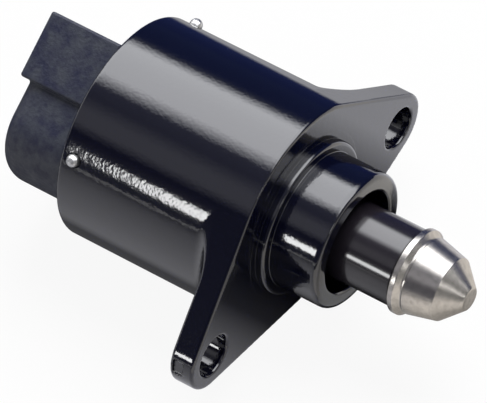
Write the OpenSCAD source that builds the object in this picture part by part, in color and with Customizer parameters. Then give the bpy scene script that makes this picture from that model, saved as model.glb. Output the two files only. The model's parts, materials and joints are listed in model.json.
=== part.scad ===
// Idle air control valve for a car engine. A two-phase stepper motor in a cast housing turns a
// threaded rotor, and the lead screw in it slides the pintle along the valve axis.
// +X is the valve axis towards the pintle. The origin is where the axis meets the mounting face.
// The two bolt holes lie along Y, a little below the axis, and +Z is up. Sizes are millimetres.

/* [Can] */
// Outside diameter of the motor can
can_d = 35; // [33:0.5:42]
// Length of the can from its rear rim to the mounting face
can_len = 31.6; // [30:0.1:40]
// Wall of the can round the motor
can_wall = 2; // [1.6:0.1:2.4]
// Rounding of the can's rear rim
can_rim_r = 0.5; // [0.4:0.1:1.6]

/* [Flange] */
// Thickness of the flange and its ears
flange_t = 4; // [3:0.1:5]
// Distance between the two bolt holes along Y
bolt_pitch = 47.4; // [47:0.1:60]
// How far the bolt holes lie below the valve axis
bolt_drop = 6.4; // [4:0.1:8]
// Diameter of a bolt hole, for an M6 screw
bolt_hole_d = 6.6; // [6.4:0.1:7]
// Radius of an ear round its bolt hole
ear_r = 5.5; // [5:0.1:7]
// Rounding of the flange's edges
flange_edge_r = 0.8; // [0.4:0.1:1.2]
// Radius of the fillet between the ears and the can
ear_fillet_r = 3.2; // [2:0.1:6]

/* [Collar] */
// Outside diameter of the collar that enters the throttle body
collar_d = 21.4; // [20:0.1:24]
// Height of the collar above the mounting face
collar_len = 9.5; // [8:0.1:11.4]
// Bore of the collar
collar_bore_d = 16.1; // [15:0.1:17]
// Rounding of the collar's outer rim
collar_rim_r = 1; // [0.4:0.1:1.4]
// Diameter of the raised ring at the collar's root
root_ring_d = 24.4; // [24.2:0.1:28]
// Height of the raised ring
root_ring_h = 1.4; // [0.4:0.1:1.6]

/* [Rear moulding] */
// Turn of the rear moulding about the valve axis
cap_turn = 29; // [0:1:90]
// How far the rounded body stands behind the can
body_len = 12.2; // [8:0.1:13]
// Width of the rounded body
body_w = 25.8; // [22:0.1:26]
// Depth of the rounded body below the axis
body_drop = 14.1; // [12:0.1:15]
// Corner radius of the rounded body
body_corner_r = 8.2; // [4:0.1:9]
// Rounding of the body's rear edge
body_edge_r = 3.6; // [1:0.1:4]
// How far the connector hood stands behind the can
hood_len = 12.4; // [11:0.1:15]
// Width of the hood
hood_w = 28; // [26:0.1:28.6]
// Height of the hood's top above the axis
hood_top = 10; // [9:0.1:10.4]
// Wall of the hood
hood_wall = 1.4; // [1:0.1:1.8]
// Depth of the socket in the hood
socket_depth = 10.4; // [9:0.1:11]
// Distance between neighbouring terminals
terminal_pitch = 5.6; // [5:0.1:6]
// Width of a terminal blade
terminal_w = 2.6; // [2:0.1:2.8]
// Thickness of a terminal blade
terminal_t = 0.8; // [0.6:0.1:1]

/* [Pintle] */
// Rear face of the metal tip at the middle position that is shown
tip_x = 18.9; // [18:0.1:23]
// Diameter of the plunger sleeve
sleeve_d = 12.2; // [11:0.1:12.6]
// Diameter of the tip's ring
ring_d = 13.4; // [13:0.1:14.4]
// Length of the tip from its ring's rear face to its nose
tip_len = 10; // [9:0.1:12]
// Diameter of the tip's flat nose
nose_d = 3.5; // [3:0.1:4]
// Half angle of the tip's main cone, in degrees
cone_angle = 13; // [8:0.5:16]
// Length of the steep cone at the nose
nose_len = 3.35; // [2.5:0.05:4]
// How far the plunger can draw back from the position shown
draw_back = 7; // [5:0.5:7]

/* [Motor] */
// Outside diameter of the rotor magnet
magnet_d = 13.6; // [13:0.1:14]
// Radial gap between the magnet and the pole teeth
air_gap = 0.3; // [0.2:0.05:0.4]
// Thickness of the stator sheet
sheet_t = 0.9; // [0.7:0.05:1]
// Teeth on each stator sheet
pole_count = 6; // [4:1:7]
// Diameter of the lead screw
screw_d = 5; // [4.4:0.1:5.2]
// Diameter of the rotor's journals, also the ball bearing's bore
journal_d = 8; // [7.6:0.1:8.4]
// Outside diameter of the ball bearing
bearing_d = 14; // [13.6:0.1:14.4]
// Width of the ball bearing
bearing_w = 3.5; // [3:0.1:4]
// Diameter of a bearing ball
ball_d = 1.6; // [1.4:0.05:1.7]
// Number of balls
ball_count = 8; // [6:1:10]

/* [Fits] */
// Gap at a seat that stays still
seat_gap = 0.03; // [0.02:0.01:0.08]
// Gap at a surface that slides or turns
run_gap = 0.06; // [0.04:0.01:0.12]

/* [Hidden] */
$fn = 96;

eps = 0.5;                                  // overshoot of a cut past a face
break_edge = 0.3;                           // small chamfer of a machined or moulded edge
shoulder_gap = 0.1;                         // room beside a shoulder that sets nothing
can_r = can_d / 2;
stator_bore_r = can_r - can_wall;
collar_r = collar_d / 2;
collar_bore_r = collar_bore_d / 2;
collar_chamfer = 0.5;
can_rear_x = -can_len;

// Places along the axis, from the collar's bore back to the rear moulding
guide_len = 4;
guide_front_x = -2.1;
guide_rear_x = guide_front_x - guide_len;
lip_t = 0.4;                                // lip between the guide bush and the bearing
bearing_front_x = guide_rear_x - lip_t;
bearing_rear_x = bearing_front_x - bearing_w;
stack_front_x = bearing_rear_x - 2 * shoulder_gap;
spigot_len = 6.2;
spigot_front_x = can_rear_x + spigot_len;
stack_rear_x = spigot_front_x + 2 * shoulder_gap;
phase_len = (stack_front_x - stack_rear_x) / 2;
stack_mid_x = stack_front_x - phase_len;

// Housing
flange_wall = 3.2;
hub_wall = 2.4;
lip_r = collar_bore_r - 2;
ledge_w = 1.3;
ears = [[bolt_pitch / 2, -bolt_drop], [-bolt_pitch / 2, -bolt_drop]];

// Rear moulding, in a frame where Y points to the hood and Z across it
body_half = body_w / 2;
hood_half = hood_w / 2;
hood_floor_y = -0.5;
body_top_y = hood_floor_y + body_edge_r;      // the hood hides the body's upper edge
mould_gap = 0.05;
socket_floor_x = can_rear_x - hood_len + socket_depth;
spigot_r = stator_bore_r - seat_gap;
spigot_wall = 3.4;
seal_d = 1.3;
seal_groove_d = 1.3;
seal_x = spigot_front_x - 0.9 - seal_d / 2;
bush_r = journal_d / 2 + 1.6;
boss_r = bush_r + 2;
web_x = can_rear_x + 1;

// Pins that hold the rear moulding
pin_r = 1;
pin_inset = 2.3;
pin_bite = 2;
pin_stand = 1.2;
pin_angles = [-27, 93, 213];

// Terminals
terminal_rear_x = can_rear_x - hood_len + 4.8;
terminal_front_x = can_rear_x + 1.4;
terminal_y = (hood_floor_y + hood_top) / 2;
terminal_places = [for (i = [-1.5:1:1.5]) i * terminal_pitch];

// Motor
magnet_r = magnet_d / 2;
claw_r = magnet_r + air_gap;
bobbin_bore_r = norm([claw_r + sheet_t, 1.6]) + 0.1;
bobbin_wall = 0.8;
cup_r = stator_bore_r - seat_gap;
bobbin_r = cup_r - sheet_t - 0.15;
claw_base = 2 * PI * claw_r / (2 * pole_count) * 0.78;
claw_tip = claw_base * 0.56;
claw_len = phase_len - 2 * sheet_t - 0.5;
pole_step = 360 / pole_count;
journal_r = journal_d / 2;
screw_r = screw_d / 2;
hub_r = journal_r + 0.85;
hub_bore_r = screw_r + 0.4;
hub_front_x = bearing_front_x - shoulder_gap;
hub_rear_shoulder_x = stack_rear_x + 3 * shoulder_gap;
magnet_front_x = stack_front_x - 0.6;
magnet_rear_x = stack_rear_x + 0.6;
nut_r = screw_r + 0.53 * (hub_r - screw_r);
nut_len = 8;
nut_front_x = magnet_front_x;
bush_front_x = spigot_front_x - 0.05;
bush_len = 4;
rear_journal_x = bush_front_x - bush_len + 0.2;

// Bearing
bearing_r = bearing_d / 2;
bearing_mid_x = (bearing_front_x + bearing_rear_x) / 2;
ball_r = ball_d / 2;
ball_ring_r = (journal_r + bearing_r) / 2;
race_t = ball_ring_r - journal_r - 0.6;
race_groove_r = ball_r + 0.02;
cage_t = 0.7;

// Plunger
sleeve_r = sleeve_d / 2;
stop_t = 0.8;
sleeve_rear_x = guide_front_x + stop_t + 3 * shoulder_gap + draw_back;
sleeve_bore_r = sleeve_r - 1.75;
sleeve_wall = 2;
flat_half = screw_r - 0.6;
screw_rear_x = nut_front_x - nut_len - 2.4;
flats_rear_x = guide_rear_x - 2;
flats_front_x = sleeve_rear_x - 1;
screw_nose_r = screw_r - 0.5;
screw_collar_r = sleeve_bore_r - 0.55;
tip_spigot_len = 4;
ring_w = 1.6;
undercut_w = 0.45;
undercut_h = 0.15;
cone_rear_r = ring_d / 2 - 0.68;
undercut_r = cone_rear_r - undercut_h;
cone_front_r = cone_rear_r - (tip_len - nose_len - ring_w - undercut_w) * tan(cone_angle);

// A solid turned about the valve axis from an outline of [x, radius] points
module turned(outline) {
    rotate([0, 90, 0]) rotate_extrude() polygon([for (p = outline) [p[1], p[0]]]);
}

// A ring turned about the valve axis
module ring(x0, x1, r0, r1) {
    turned([[x0, r0], [x0, r1], [x1, r1], [x1, r0]]);
}

// Points of an arc about [x, r], from angle a0 to a1
function arc(x, r, radius, a0, a1, steps = 5) =
    [for (i = [0:steps]) let (a = a0 + (a1 - a0) * i / steps) [x + radius * cos(a), r + radius * sin(a)]];

// A disc on the X axis with rounded edges, from x = x0 to x1
module rounded_disc(x0, x1, r, edge, facets = 48) {
    $fn = facets;
    turned(concat([[x0, 0]], arc(x0 + edge, r - edge, edge, 180, 90, 4),
        arc(x1 - edge, r - edge, edge, 90, 0, 4), [[x1, 0]]));
}

// Turns its children into the rear moulding's own frame
module at_cap() {
    rotate([cap_turn, 0, 0]) children();
}

// Housing: can, flange with two ears, and collar, cast in one piece
module housing_outside() {
    turned(concat([[can_rear_x, 0]],
        arc(can_rear_x + can_rim_r, can_r - can_rim_r, can_rim_r, 180, 90),
        arc(-flange_edge_r, can_r - flange_edge_r, flange_edge_r, 90, 0),
        [[0, root_ring_d / 2 + break_edge], [break_edge, root_ring_d / 2]],
        arc(root_ring_h - break_edge, root_ring_d / 2 - break_edge, break_edge, 90, 0, 3),
        [[root_ring_h, collar_r + break_edge], [root_ring_h + break_edge, collar_r]],
        arc(collar_len - collar_rim_r, collar_r - collar_rim_r, collar_rim_r, 90, 0),
        [[collar_len, 0]]));
}

module flange_plate() {
    hull() {
        rounded_disc(-flange_t, 0, can_r - 0.04, flange_edge_r, 96);
        for (e = ears) translate([0, e[0], e[1]]) rounded_disc(-flange_t, 0, ear_r, flange_edge_r);
    }
}

// The concave ring between the can and the ears' rear faces, kept within the ears' outline
module ear_fillets() {
    f = ear_fillet_r;
    sink = 1;
    intersection() {
        turned(concat([[-flange_t + sink, can_r - sink], [-flange_t + sink, can_r + f]],
            arc(-flange_t - f, can_r + f, f, 0, -90, 6), [[-flange_t - f, can_r - sink]]));
        for (e = ears) hull() {
            rotate([0, 90, 0]) translate([0, 0, -flange_t - 2 * f])
                cylinder(r = can_r - 0.3, h = 2 * f + sink);
            translate([-flange_t - 2 * f, e[0], e[1]]) rotate([0, 90, 0])
                cylinder(r = ear_r - 0.25, h = 2 * f + sink, $fn = 48);
        }
    }
}

module housing_cavity() {
    turned([[collar_len + eps, 0], [collar_len + eps, collar_bore_r + collar_chamfer + eps],
        [collar_len - collar_chamfer, collar_bore_r], [guide_rear_x, collar_bore_r], [guide_rear_x, lip_r],
        [bearing_front_x, lip_r], [bearing_front_x, bearing_r + seat_gap],
        [stack_front_x, bearing_r + seat_gap], [stack_front_x, stator_bore_r],
        [can_rear_x + break_edge, stator_bore_r], [can_rear_x - eps, stator_bore_r + break_edge + eps],
        [can_rear_x - eps, 0]]);
}

module housing() {
    color([0.02, 0.02, 0.03]) difference() {
        union() {
            housing_outside();
            flange_plate();
            ear_fillets();
        }
        housing_cavity();
        ring(stack_front_x - eps, -flange_wall, collar_bore_r + hub_wall, stator_bore_r - ledge_w);
        for (e = ears) translate([-flange_t - ear_fillet_r - 1, e[0], e[1]]) rotate([0, 90, 0])
            cylinder(d = bolt_hole_d, h = flange_t + ear_fillet_r + 2);
        pin_holes(can_r + 1, stator_bore_r - 1);
        casting_recess();
    }
}

// Small recess that the casting gate leaves in the end of the lower ear
module casting_recess() {
    translate([-flange_t / 2 - 0.6, ears[1][0], ears[1][1]]) rotate([165, 0, 0])
        translate([0, ear_r + 0.6, 0]) cube([1.7, 2.2, 2.4], center = true);
}

// Radial holes at the retaining pins, from an outer to an inner radius
module pin_holes(outer, inner) {
    at_pins() translate([0, 0, inner]) cylinder(r = pin_r + seat_gap, h = outer - inner);
}

module at_pins() {
    at_cap() for (a = pin_angles) rotate([-a, 0, 0]) translate([can_rear_x + pin_inset, 0, 0]) children();
}

module retaining_pins() {
    color([0.8, 0.8, 0.82]) at_pins() rotate_extrude($fn = 48)
        polygon(concat([[0, stator_bore_r - pin_bite], [pin_r - 0.2, stator_bore_r - pin_bite],
            [pin_r, stator_bore_r - pin_bite + 0.2]],
            arc(0, can_r + pin_stand - pin_r, pin_r, 0, 84), [[0, can_r + pin_stand]]));
}

// Rear moulding: spigot in the can, rounded body and connector hood
module body_post(y, z, r) {
    $fn = 40;
    rear_x = can_rear_x - body_len;
    translate([0, y, z]) turned(concat([[rear_x, 0]],
        arc(rear_x + body_edge_r, r - body_edge_r, body_edge_r, 180, 90, 6),
        [[can_rear_x - mould_gap, r], [can_rear_x - mould_gap, 0]]));
}

module moulding_body() {
    hull() for (s = [-1, 1]) {
        body_post(body_corner_r - body_drop, s * (body_half - body_corner_r), body_corner_r);
        body_post(body_top_y, s * (body_half - body_edge_r), body_edge_r);
    }
}

module moulding_spigot() {
    difference() {
        turned([[can_rear_x - 1, 0], [can_rear_x - 1, boss_r], [can_rear_x + break_edge, boss_r],
            [can_rear_x + break_edge, spigot_r], [spigot_front_x - break_edge, spigot_r],
            [spigot_front_x, spigot_r - break_edge], [spigot_front_x, 0]]);
        ring(web_x, spigot_front_x + eps, boss_r, spigot_r - spigot_wall);
        ring(seal_x - seal_d / 2 - 0.1, seal_x + seal_d / 2 + 0.1, stator_bore_r - seal_groove_d, can_r);
        ring(bush_front_x - bush_len, spigot_front_x + eps, 0, bush_r + seat_gap);
        ring(bush_front_x - bush_len - 1.2, spigot_front_x, 0, journal_r + 0.3);
    }
    // Ribs between the boss and the spigot's wall
    for (a = [0:60:300]) rotate([a + 30, 0, 0]) translate([web_x - 0.2, boss_r - 0.2, -0.6])
        cube([spigot_front_x - 1 - web_x, spigot_r - spigot_wall - boss_r + 0.4, 1.2]);
}

module rear_moulding() {
    color([0.12, 0.13, 0.15]) at_cap() difference() {
        union() {
            moulding_spigot();
            moulding_body();
            translate([can_rear_x - hood_len, hood_floor_y, -hood_half])
                cube([hood_len - mould_gap, hood_top - hood_floor_y, hood_w]);
        }
        // Socket of the connector
        translate([can_rear_x - hood_len - 1, hood_floor_y + hood_wall, hood_wall - hood_half])
            cube([socket_depth + 1, hood_top - hood_floor_y - 2 * hood_wall, hood_w - 2 * hood_wall]);
        // Window that takes the plug's latch
        translate([can_rear_x - hood_len + 3, hood_top - hood_wall - 1, -3]) cube([2.6, hood_wall + 2, 6]);
        for (z = terminal_places) translate([0, 0, z])
            terminal_bar(terminal_t + 2 * seat_gap, terminal_w + 2 * seat_gap, seat_gap);
        rotate([-cap_turn, 0, 0]) pin_holes(can_r, stator_bore_r - pin_bite - 0.1);
    }
}

// One terminal blade, grown by a gap where it is used as a cut
module terminal_bar(t, w, gap = 0) {
    translate([terminal_rear_x - gap, terminal_y - t / 2, -w / 2])
        cube([terminal_front_x - terminal_rear_x + 2 * gap, t, w]);
}

module terminals() {
    tip = 1.2;
    color([0.75, 0.72, 0.62]) at_cap() for (z = terminal_places) translate([0, 0, z]) intersection() {
        terminal_bar(terminal_t, terminal_w);
        // Bevelled tip
        translate([0, terminal_y + 5, 0]) rotate([90, 0, 0]) linear_extrude(10)
            polygon([[terminal_front_x, -terminal_w], [terminal_front_x, terminal_w],
                [terminal_rear_x + tip, terminal_w], [terminal_rear_x + tip, terminal_w / 2],
                [terminal_rear_x, terminal_w / 4], [terminal_rear_x, -terminal_w / 4],
                [terminal_rear_x + tip, -terminal_w / 2], [terminal_rear_x + tip, -terminal_w]]);
    }
}

module cap_seal() {
    color([0.08, 0.08, 0.08]) rotate([0, 90, 0]) translate([0, 0, seal_x]) rotate_extrude()
        translate([stator_bore_r - seal_d / 2 + 0.01, 0]) circle(d = seal_d - 0.04, $fn = 24);
}

// Teeth of a stator sheet, from x0 along dir, the first one turned by turn
module claws(x0, dir, turn) {
    for (i = [0:pole_count - 1]) rotate([turn + i * pole_step, 0, 0]) translate([x0, 0, claw_r])
        linear_extrude(sheet_t) polygon([[0, -claw_base / 2], [dir * claw_len, -claw_tip / 2],
            [dir * claw_len, claw_tip / 2], [0, claw_base / 2]]);
}

// Outer cup of one phase: end wall at x0, side wall and teeth running along dir
module stator_cup(x0, dir, turn) {
    ring(x0, x0 + dir * sheet_t, claw_r + 0.2, cup_r);
    ring(x0, x0 + dir * (phase_len - 0.02), cup_r - sheet_t, cup_r);
    claws(x0 + dir * sheet_t / 2, dir, turn);
}

// Inner pole plate of one phase, which closes the cup at the middle of the motor
module pole_plate(x0, dir, turn) {
    ring(x0, x0 + dir * sheet_t, claw_r + 0.2, cup_r - sheet_t - 0.03);
    claws(x0 + dir * sheet_t / 2, dir, turn);
}

// Coil former of one phase, between x0 and x1
module bobbin(x0, x1) {
    ring(x0, x1, bobbin_bore_r, bobbin_bore_r + bobbin_wall);
    ring(x0, x0 + bobbin_wall, bobbin_bore_r, bobbin_r);
    ring(x1 - bobbin_wall, x1, bobbin_bore_r, bobbin_r);
}

module winding(x0, x1) {
    ring(x0 + bobbin_wall + seat_gap, x1 - bobbin_wall - seat_gap, bobbin_bore_r + bobbin_wall + seat_gap,
        bobbin_r - 0.7);
}

module front_stator_cup() {
    color([0.6, 0.6, 0.62]) stator_cup(stack_front_x, -1, 0);
}

module front_pole_plate() {
    color([0.6, 0.6, 0.62]) pole_plate(stack_mid_x + 0.02, 1, pole_step / 2);
}

module front_bobbin() {
    color([0.85, 0.82, 0.7]) bobbin(stack_mid_x + sheet_t + 0.08, stack_front_x - sheet_t - 0.06);
}

module front_winding() {
    color([0.72, 0.38, 0.16]) winding(stack_mid_x + sheet_t + 0.08, stack_front_x - sheet_t - 0.06);
}

module rear_stator_cup() {
    color([0.6, 0.6, 0.62]) stator_cup(stack_rear_x, 1, pole_step / 4);
}

module rear_pole_plate() {
    color([0.6, 0.6, 0.62]) pole_plate(stack_mid_x - 0.02, -1, pole_step * 3 / 4);
}

module rear_bobbin() {
    color([0.85, 0.82, 0.7]) bobbin(stack_rear_x + sheet_t + 0.06, stack_mid_x - sheet_t - 0.08);
}

module rear_winding() {
    color([0.72, 0.38, 0.16]) winding(stack_rear_x + sheet_t + 0.06, stack_mid_x - sheet_t - 0.08);
}

module rotor_magnet() {
    color([0.2, 0.2, 0.21]) ring(magnet_rear_x, magnet_front_x, hub_r + seat_gap, magnet_r);
}

module rotor_hub() {
    color([0.9, 0.88, 0.8]) difference() {
        turned([[rear_journal_x, 0], [rear_journal_x, journal_r - run_gap],
            [hub_rear_shoulder_x, journal_r - run_gap], [hub_rear_shoulder_x, hub_r],
            [bearing_rear_x - shoulder_gap, hub_r], [bearing_rear_x - shoulder_gap, journal_r - seat_gap],
            [hub_front_x, journal_r - seat_gap], [hub_front_x, 0]]);
        ring(rear_journal_x - eps, hub_front_x + eps, 0, hub_bore_r);
        ring(nut_front_x - nut_len - seat_gap, nut_front_x + seat_gap, 0, nut_r + seat_gap);
    }
}

module rotor_nut() {
    color([0.8, 0.66, 0.3]) ring(nut_front_x - nut_len, nut_front_x, screw_r + run_gap, nut_r);
}

module race_groove() {
    rotate([0, 90, 0]) translate([0, 0, bearing_mid_x]) rotate_extrude()
        translate([ball_ring_r, 0]) circle(r = race_groove_r, $fn = 32);
}

module bearing_outer_ring() {
    color([0.75, 0.75, 0.77]) difference() {
        ring(bearing_rear_x, bearing_front_x, bearing_r - race_t, bearing_r);
        race_groove();
    }
}

module bearing_inner_ring() {
    color([0.75, 0.75, 0.77]) difference() {
        ring(bearing_rear_x, bearing_front_x, journal_r, journal_r + race_t);
        race_groove();
    }
}

module at_balls() {
    for (i = [0:ball_count - 1]) rotate([i * 360 / ball_count, 0, 0])
        translate([bearing_mid_x, 0, ball_ring_r]) children();
}

module bearing_balls() {
    color([0.85, 0.85, 0.87]) at_balls() sphere(r = ball_r, $fn = 32);
}

module bearing_cage() {
    color([0.75, 0.6, 0.3]) difference() {
        ring(bearing_mid_x - ball_r - 0.3, bearing_mid_x + ball_r + 0.3, ball_ring_r - cage_t / 2,
            ball_ring_r + cage_t / 2);
        at_balls() sphere(r = ball_r + run_gap, $fn = 32);
    }
}

module rear_bush() {
    color([0.6, 0.45, 0.25]) ring(bush_front_x - bush_len, bush_front_x, journal_r, bush_r);
}

module preload_washer() {
    color([0.7, 0.7, 0.72])
        ring(bush_front_x + seat_gap, hub_rear_shoulder_x - run_gap, journal_r + shoulder_gap, hub_r + 0.3);
}

// Guide bush with a hole that has two flats, which keeps the lead screw from turning
module guide_bush() {
    color([0.55, 0.55, 0.5]) difference() {
        turned([[guide_rear_x, 0], [guide_rear_x, collar_bore_r - seat_gap],
            [guide_front_x - 0.4, collar_bore_r - seat_gap], [guide_front_x, collar_bore_r - 0.4 - seat_gap],
            [guide_front_x, 0]]);
        intersection() {
            ring(guide_rear_x - eps, guide_front_x + eps, 0, screw_r + run_gap);
            cube([4 * guide_len, 2 * screw_d, 2 * (flat_half + run_gap)], center = true);
        }
    }
}

// Rubber ring that the plunger meets when it is drawn right back
module stop_ring() {
    color([0.07, 0.07, 0.07])
        ring(guide_front_x + seat_gap, guide_front_x + stop_t, screw_r + 0.7, collar_bore_r - 0.8);
}

module lead_screw() {
    collar_x = sleeve_rear_x + sleeve_wall;
    front_x = tip_x + 2;
    color([0.7, 0.7, 0.72]) difference() {
        turned([[screw_rear_x, 0], [screw_rear_x, screw_r - 0.5], [screw_rear_x + 0.5, screw_r],
            [collar_x + seat_gap, screw_r], [collar_x + seat_gap, screw_collar_r],
            [collar_x + 1, screw_collar_r], [collar_x + 1, screw_r],
            [tip_x - tip_spigot_len - 0.1, screw_r], [tip_x - tip_spigot_len - 0.1, screw_nose_r],
            [front_x, screw_nose_r], [front_x, 0]]);
        for (s = [-1, 1]) translate([(flats_rear_x + flats_front_x) / 2, 0, s * (flat_half + 1)])
            cube([flats_front_x - flats_rear_x, 2 * screw_d, 2], center = true);
    }
}

module plunger_sleeve() {
    color([0.08, 0.07, 0.07]) turned([[sleeve_rear_x, screw_r + seat_gap], [sleeve_rear_x, sleeve_r - 0.5],
        [sleeve_rear_x + 0.5, sleeve_r], [tip_x - 0.3, sleeve_r], [tip_x - seat_gap, sleeve_r - 0.27],
        [tip_x - seat_gap, sleeve_bore_r], [sleeve_rear_x + sleeve_wall, sleeve_bore_r],
        [sleeve_rear_x + sleeve_wall, screw_r + seat_gap]]);
}

module pintle_tip() {
    ring_r = ring_d / 2;
    bore_x = tip_x + 2.2;
    spigot_x = tip_x - tip_spigot_len;
    nose_x = tip_x + tip_len;
    color([0.75, 0.74, 0.72]) turned([[spigot_x, screw_nose_r + seat_gap],
        [spigot_x, sleeve_bore_r - seat_gap - break_edge], [spigot_x + break_edge, sleeve_bore_r - seat_gap],
        [tip_x, sleeve_bore_r - seat_gap], [tip_x, ring_r - break_edge], [tip_x + break_edge, ring_r],
        [tip_x + ring_w - break_edge, ring_r], [tip_x + ring_w, ring_r - break_edge],
        [tip_x + ring_w, undercut_r], [tip_x + ring_w + undercut_w - undercut_h, undercut_r],
        [tip_x + ring_w + undercut_w, cone_rear_r], [nose_x - nose_len, cone_front_r],
        [nose_x - 0.25, nose_d / 2 + 0.1], [nose_x, nose_d / 2 - 0.25], [nose_x, 0], [bore_x, 0],
        [bore_x, screw_nose_r + seat_gap]]);
}

housing();
rear_moulding();
terminals();
retaining_pins();
cap_seal();
front_stator_cup();
front_pole_plate();
front_bobbin();
front_winding();
rear_stator_cup();
rear_pole_plate();
rear_bobbin();
rear_winding();
rotor_magnet();
rotor_hub();
rotor_nut();
bearing_outer_ring();
bearing_inner_ring();
bearing_balls();
bearing_cage();
rear_bush();
preload_washer();
guide_bush();
stop_ring();
lead_screw();
plunger_sleeve();
pintle_tip();
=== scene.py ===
"""Looks of the idle air control valve: a gloss black casting, a matte rear moulding and a turned tip."""
import json
import math

import bmesh
import bpy
import numpy as np
from mathutils import Matrix, Vector


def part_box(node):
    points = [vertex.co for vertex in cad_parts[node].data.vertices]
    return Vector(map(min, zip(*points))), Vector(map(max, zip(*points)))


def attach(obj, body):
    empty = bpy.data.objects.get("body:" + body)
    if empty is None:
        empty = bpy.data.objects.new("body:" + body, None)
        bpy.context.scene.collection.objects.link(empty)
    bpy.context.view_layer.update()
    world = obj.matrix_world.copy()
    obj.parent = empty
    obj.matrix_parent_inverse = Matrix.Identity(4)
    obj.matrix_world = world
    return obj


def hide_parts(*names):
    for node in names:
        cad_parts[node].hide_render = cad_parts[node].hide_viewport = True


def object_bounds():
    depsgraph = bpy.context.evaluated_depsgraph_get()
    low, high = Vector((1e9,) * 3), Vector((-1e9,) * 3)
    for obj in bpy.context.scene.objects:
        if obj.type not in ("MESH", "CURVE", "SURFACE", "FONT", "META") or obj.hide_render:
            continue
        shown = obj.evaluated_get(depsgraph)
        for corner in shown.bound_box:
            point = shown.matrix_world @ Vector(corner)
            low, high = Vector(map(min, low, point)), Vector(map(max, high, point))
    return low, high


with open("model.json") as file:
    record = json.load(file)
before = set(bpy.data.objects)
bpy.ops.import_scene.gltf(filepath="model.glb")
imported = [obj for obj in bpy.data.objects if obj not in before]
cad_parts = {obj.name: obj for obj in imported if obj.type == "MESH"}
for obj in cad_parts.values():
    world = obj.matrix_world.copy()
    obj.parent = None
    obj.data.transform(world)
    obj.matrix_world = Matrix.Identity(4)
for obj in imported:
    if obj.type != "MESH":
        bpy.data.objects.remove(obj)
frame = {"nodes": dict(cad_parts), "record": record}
cad_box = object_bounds()

MM = 0.001
BODY = "valve_body"
PLUNGER = "plunger"
mounts = {m["name"]: m for m in frame["record"]["mounts"]}


def box_mm(node):
    """Lowest and highest corner of a CAD node, in millimetres."""
    lo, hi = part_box(node)
    return np.array(lo) / MM, np.array(hi) / MM


# Running clearance between pieces that sit in one another, in millimetres
FIT_GAP = 0.03

# Driving sizes in millimetres, from the frame
HOUSING_LO, HOUSING_HI = box_mm("housing")
CAN_R = HOUSING_HI[2]
CAN_REAR = HOUSING_LO[0]
COLLAR_END = HOUSING_HI[0]
COLLAR_R = mounts["spigot"]["dims"]["r_mm"]
BOLT_Y = mounts["bolt_holes"]["dims"]["spacing_x_mm"] / 2
BOLT_Z = mounts["bolt_holes"]["pos_m"][2] / MM
HOLE_R = mounts["bolt_holes"]["dims"]["hole_r_mm"]
EAR_R = HOUSING_HI[1] - BOLT_Y
GUIDE_LO, GUIDE_HI = box_mm("guide_bush")
CAP_TURN = math.radians(29)

# In metres: the floor lies a hair below the lowest piece, and the cards that stand in for it in reflections,
# with a painted shadow, lie below the can
FLOOR_Z = cad_box[0][2] - 0.0001
CARD_Z = HOUSING_LO[2] * MM - 0.00006

# Sizes of the casting that the frame doesn't give, in millimetres
FLANGE_T = 4
FLANGE_EDGE = 0.5
EAR_FILLET = 3.2
CAN_RIM = 0.5
COLLAR_RIM = 1
CAN_WALL = 2
ROOT_RING_R = 12.2
ROOT_RING_H = 1.4
ROOT_RING_EDGE = 0.6
COLLAR_BORE_R = GUIDE_HI[1] + FIT_GAP
COLLAR_BORE_EDGE = 0.5
HOLE_EDGE = 0.4
PIN_R = 1
PIN_HOLE_R = PIN_R + FIT_GAP
PIN_HOLE_EDGE = 0.1
PIN_X = CAN_REAR + 2.3
PIN_ANGLES = [CAP_TURN + math.radians(117 - 120 * i) for i in range(3)]

# Bore of the plunger sleeve, which the tip's spigot fits, in millimetres
SLEEVE_BORE_R = 4.35

# The gate recess in the end of the lower ear, in millimetres
RECESS_ANGLE = math.radians(165)
RECESS_X = -FLANGE_T / 2 - 0.6
RECESS_HALF_T = 0.85
RECESS_HALF_W = 1.2
RECESS_DEPTH = 0.5
RECESS_EDGE = 0.15

# Edge length of the even meshes that are moved on to the rounded shapes, in millimetres
HOUSING_VOXEL = 0.36
MOULDING_VOXEL = 0.33

# Sizes of the rear moulding, in its own frame where Y points to the hood
HOOD_LEN = 12.4
HOOD_HALF = 14
HOOD_FLOOR = -0.5
HOOD_TOP = 10
HOOD_WALL = 1.4
SOCKET_DEPTH = 10.4
BODY_LEN = 12.2
BODY_HALF = 12.9
BODY_DROP = 14.1
BODY_CORNER = 8.2
BODY_EDGE = 3.6
SPIGOT_FRONT = CAN_REAR + 6.2
SPIGOT_R = CAN_R - CAN_WALL - FIT_GAP
SPIGOT_WALL = 3.4
BOSS_R = 7.6
TERMINAL_PITCH = 5.6
TERMINAL_W = 2.6
TERMINAL_T = 0.8
LATCH_FROM = 3
LATCH_TO = 5.6
LATCH_HALF = 3


# Shape functions: signed distances in millimetres, negative inside
def outline_distance(points, x, r):
    """Signed distance in the (x, r) plane to a closed outline."""
    p = np.array(points, float)
    p = p[np.linalg.norm(p - np.roll(p, -1, axis=0), axis=1) > 1e-6]
    best = np.full(x.shape, np.inf)
    inside = np.zeros(x.shape, bool)
    for (ax, ar), (bx, br) in zip(p, np.roll(p, -1, axis=0)):
        ex, er = bx - ax, br - ar
        t = np.clip(((x - ax) * ex + (r - ar) * er) / (ex * ex + er * er), 0, 1)
        best = np.minimum(best, (x - ax - t * ex) ** 2 + (r - ar - t * er) ** 2)
        crosses = (ar > r) != (br > r)
        if er:
            inside ^= crosses & (x < ax + (r - ar) * ex / er)
    d = np.sqrt(best)
    return np.where(inside, -d, d)


def arc(x, r, radius, a0, a1, steps=8):
    """Points of an arc about (x, r), angles in degrees."""
    angles = np.radians(np.linspace(a0, a1, steps + 1))
    return [(x + radius * math.cos(a), r + radius * math.sin(a)) for a in angles]


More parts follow.
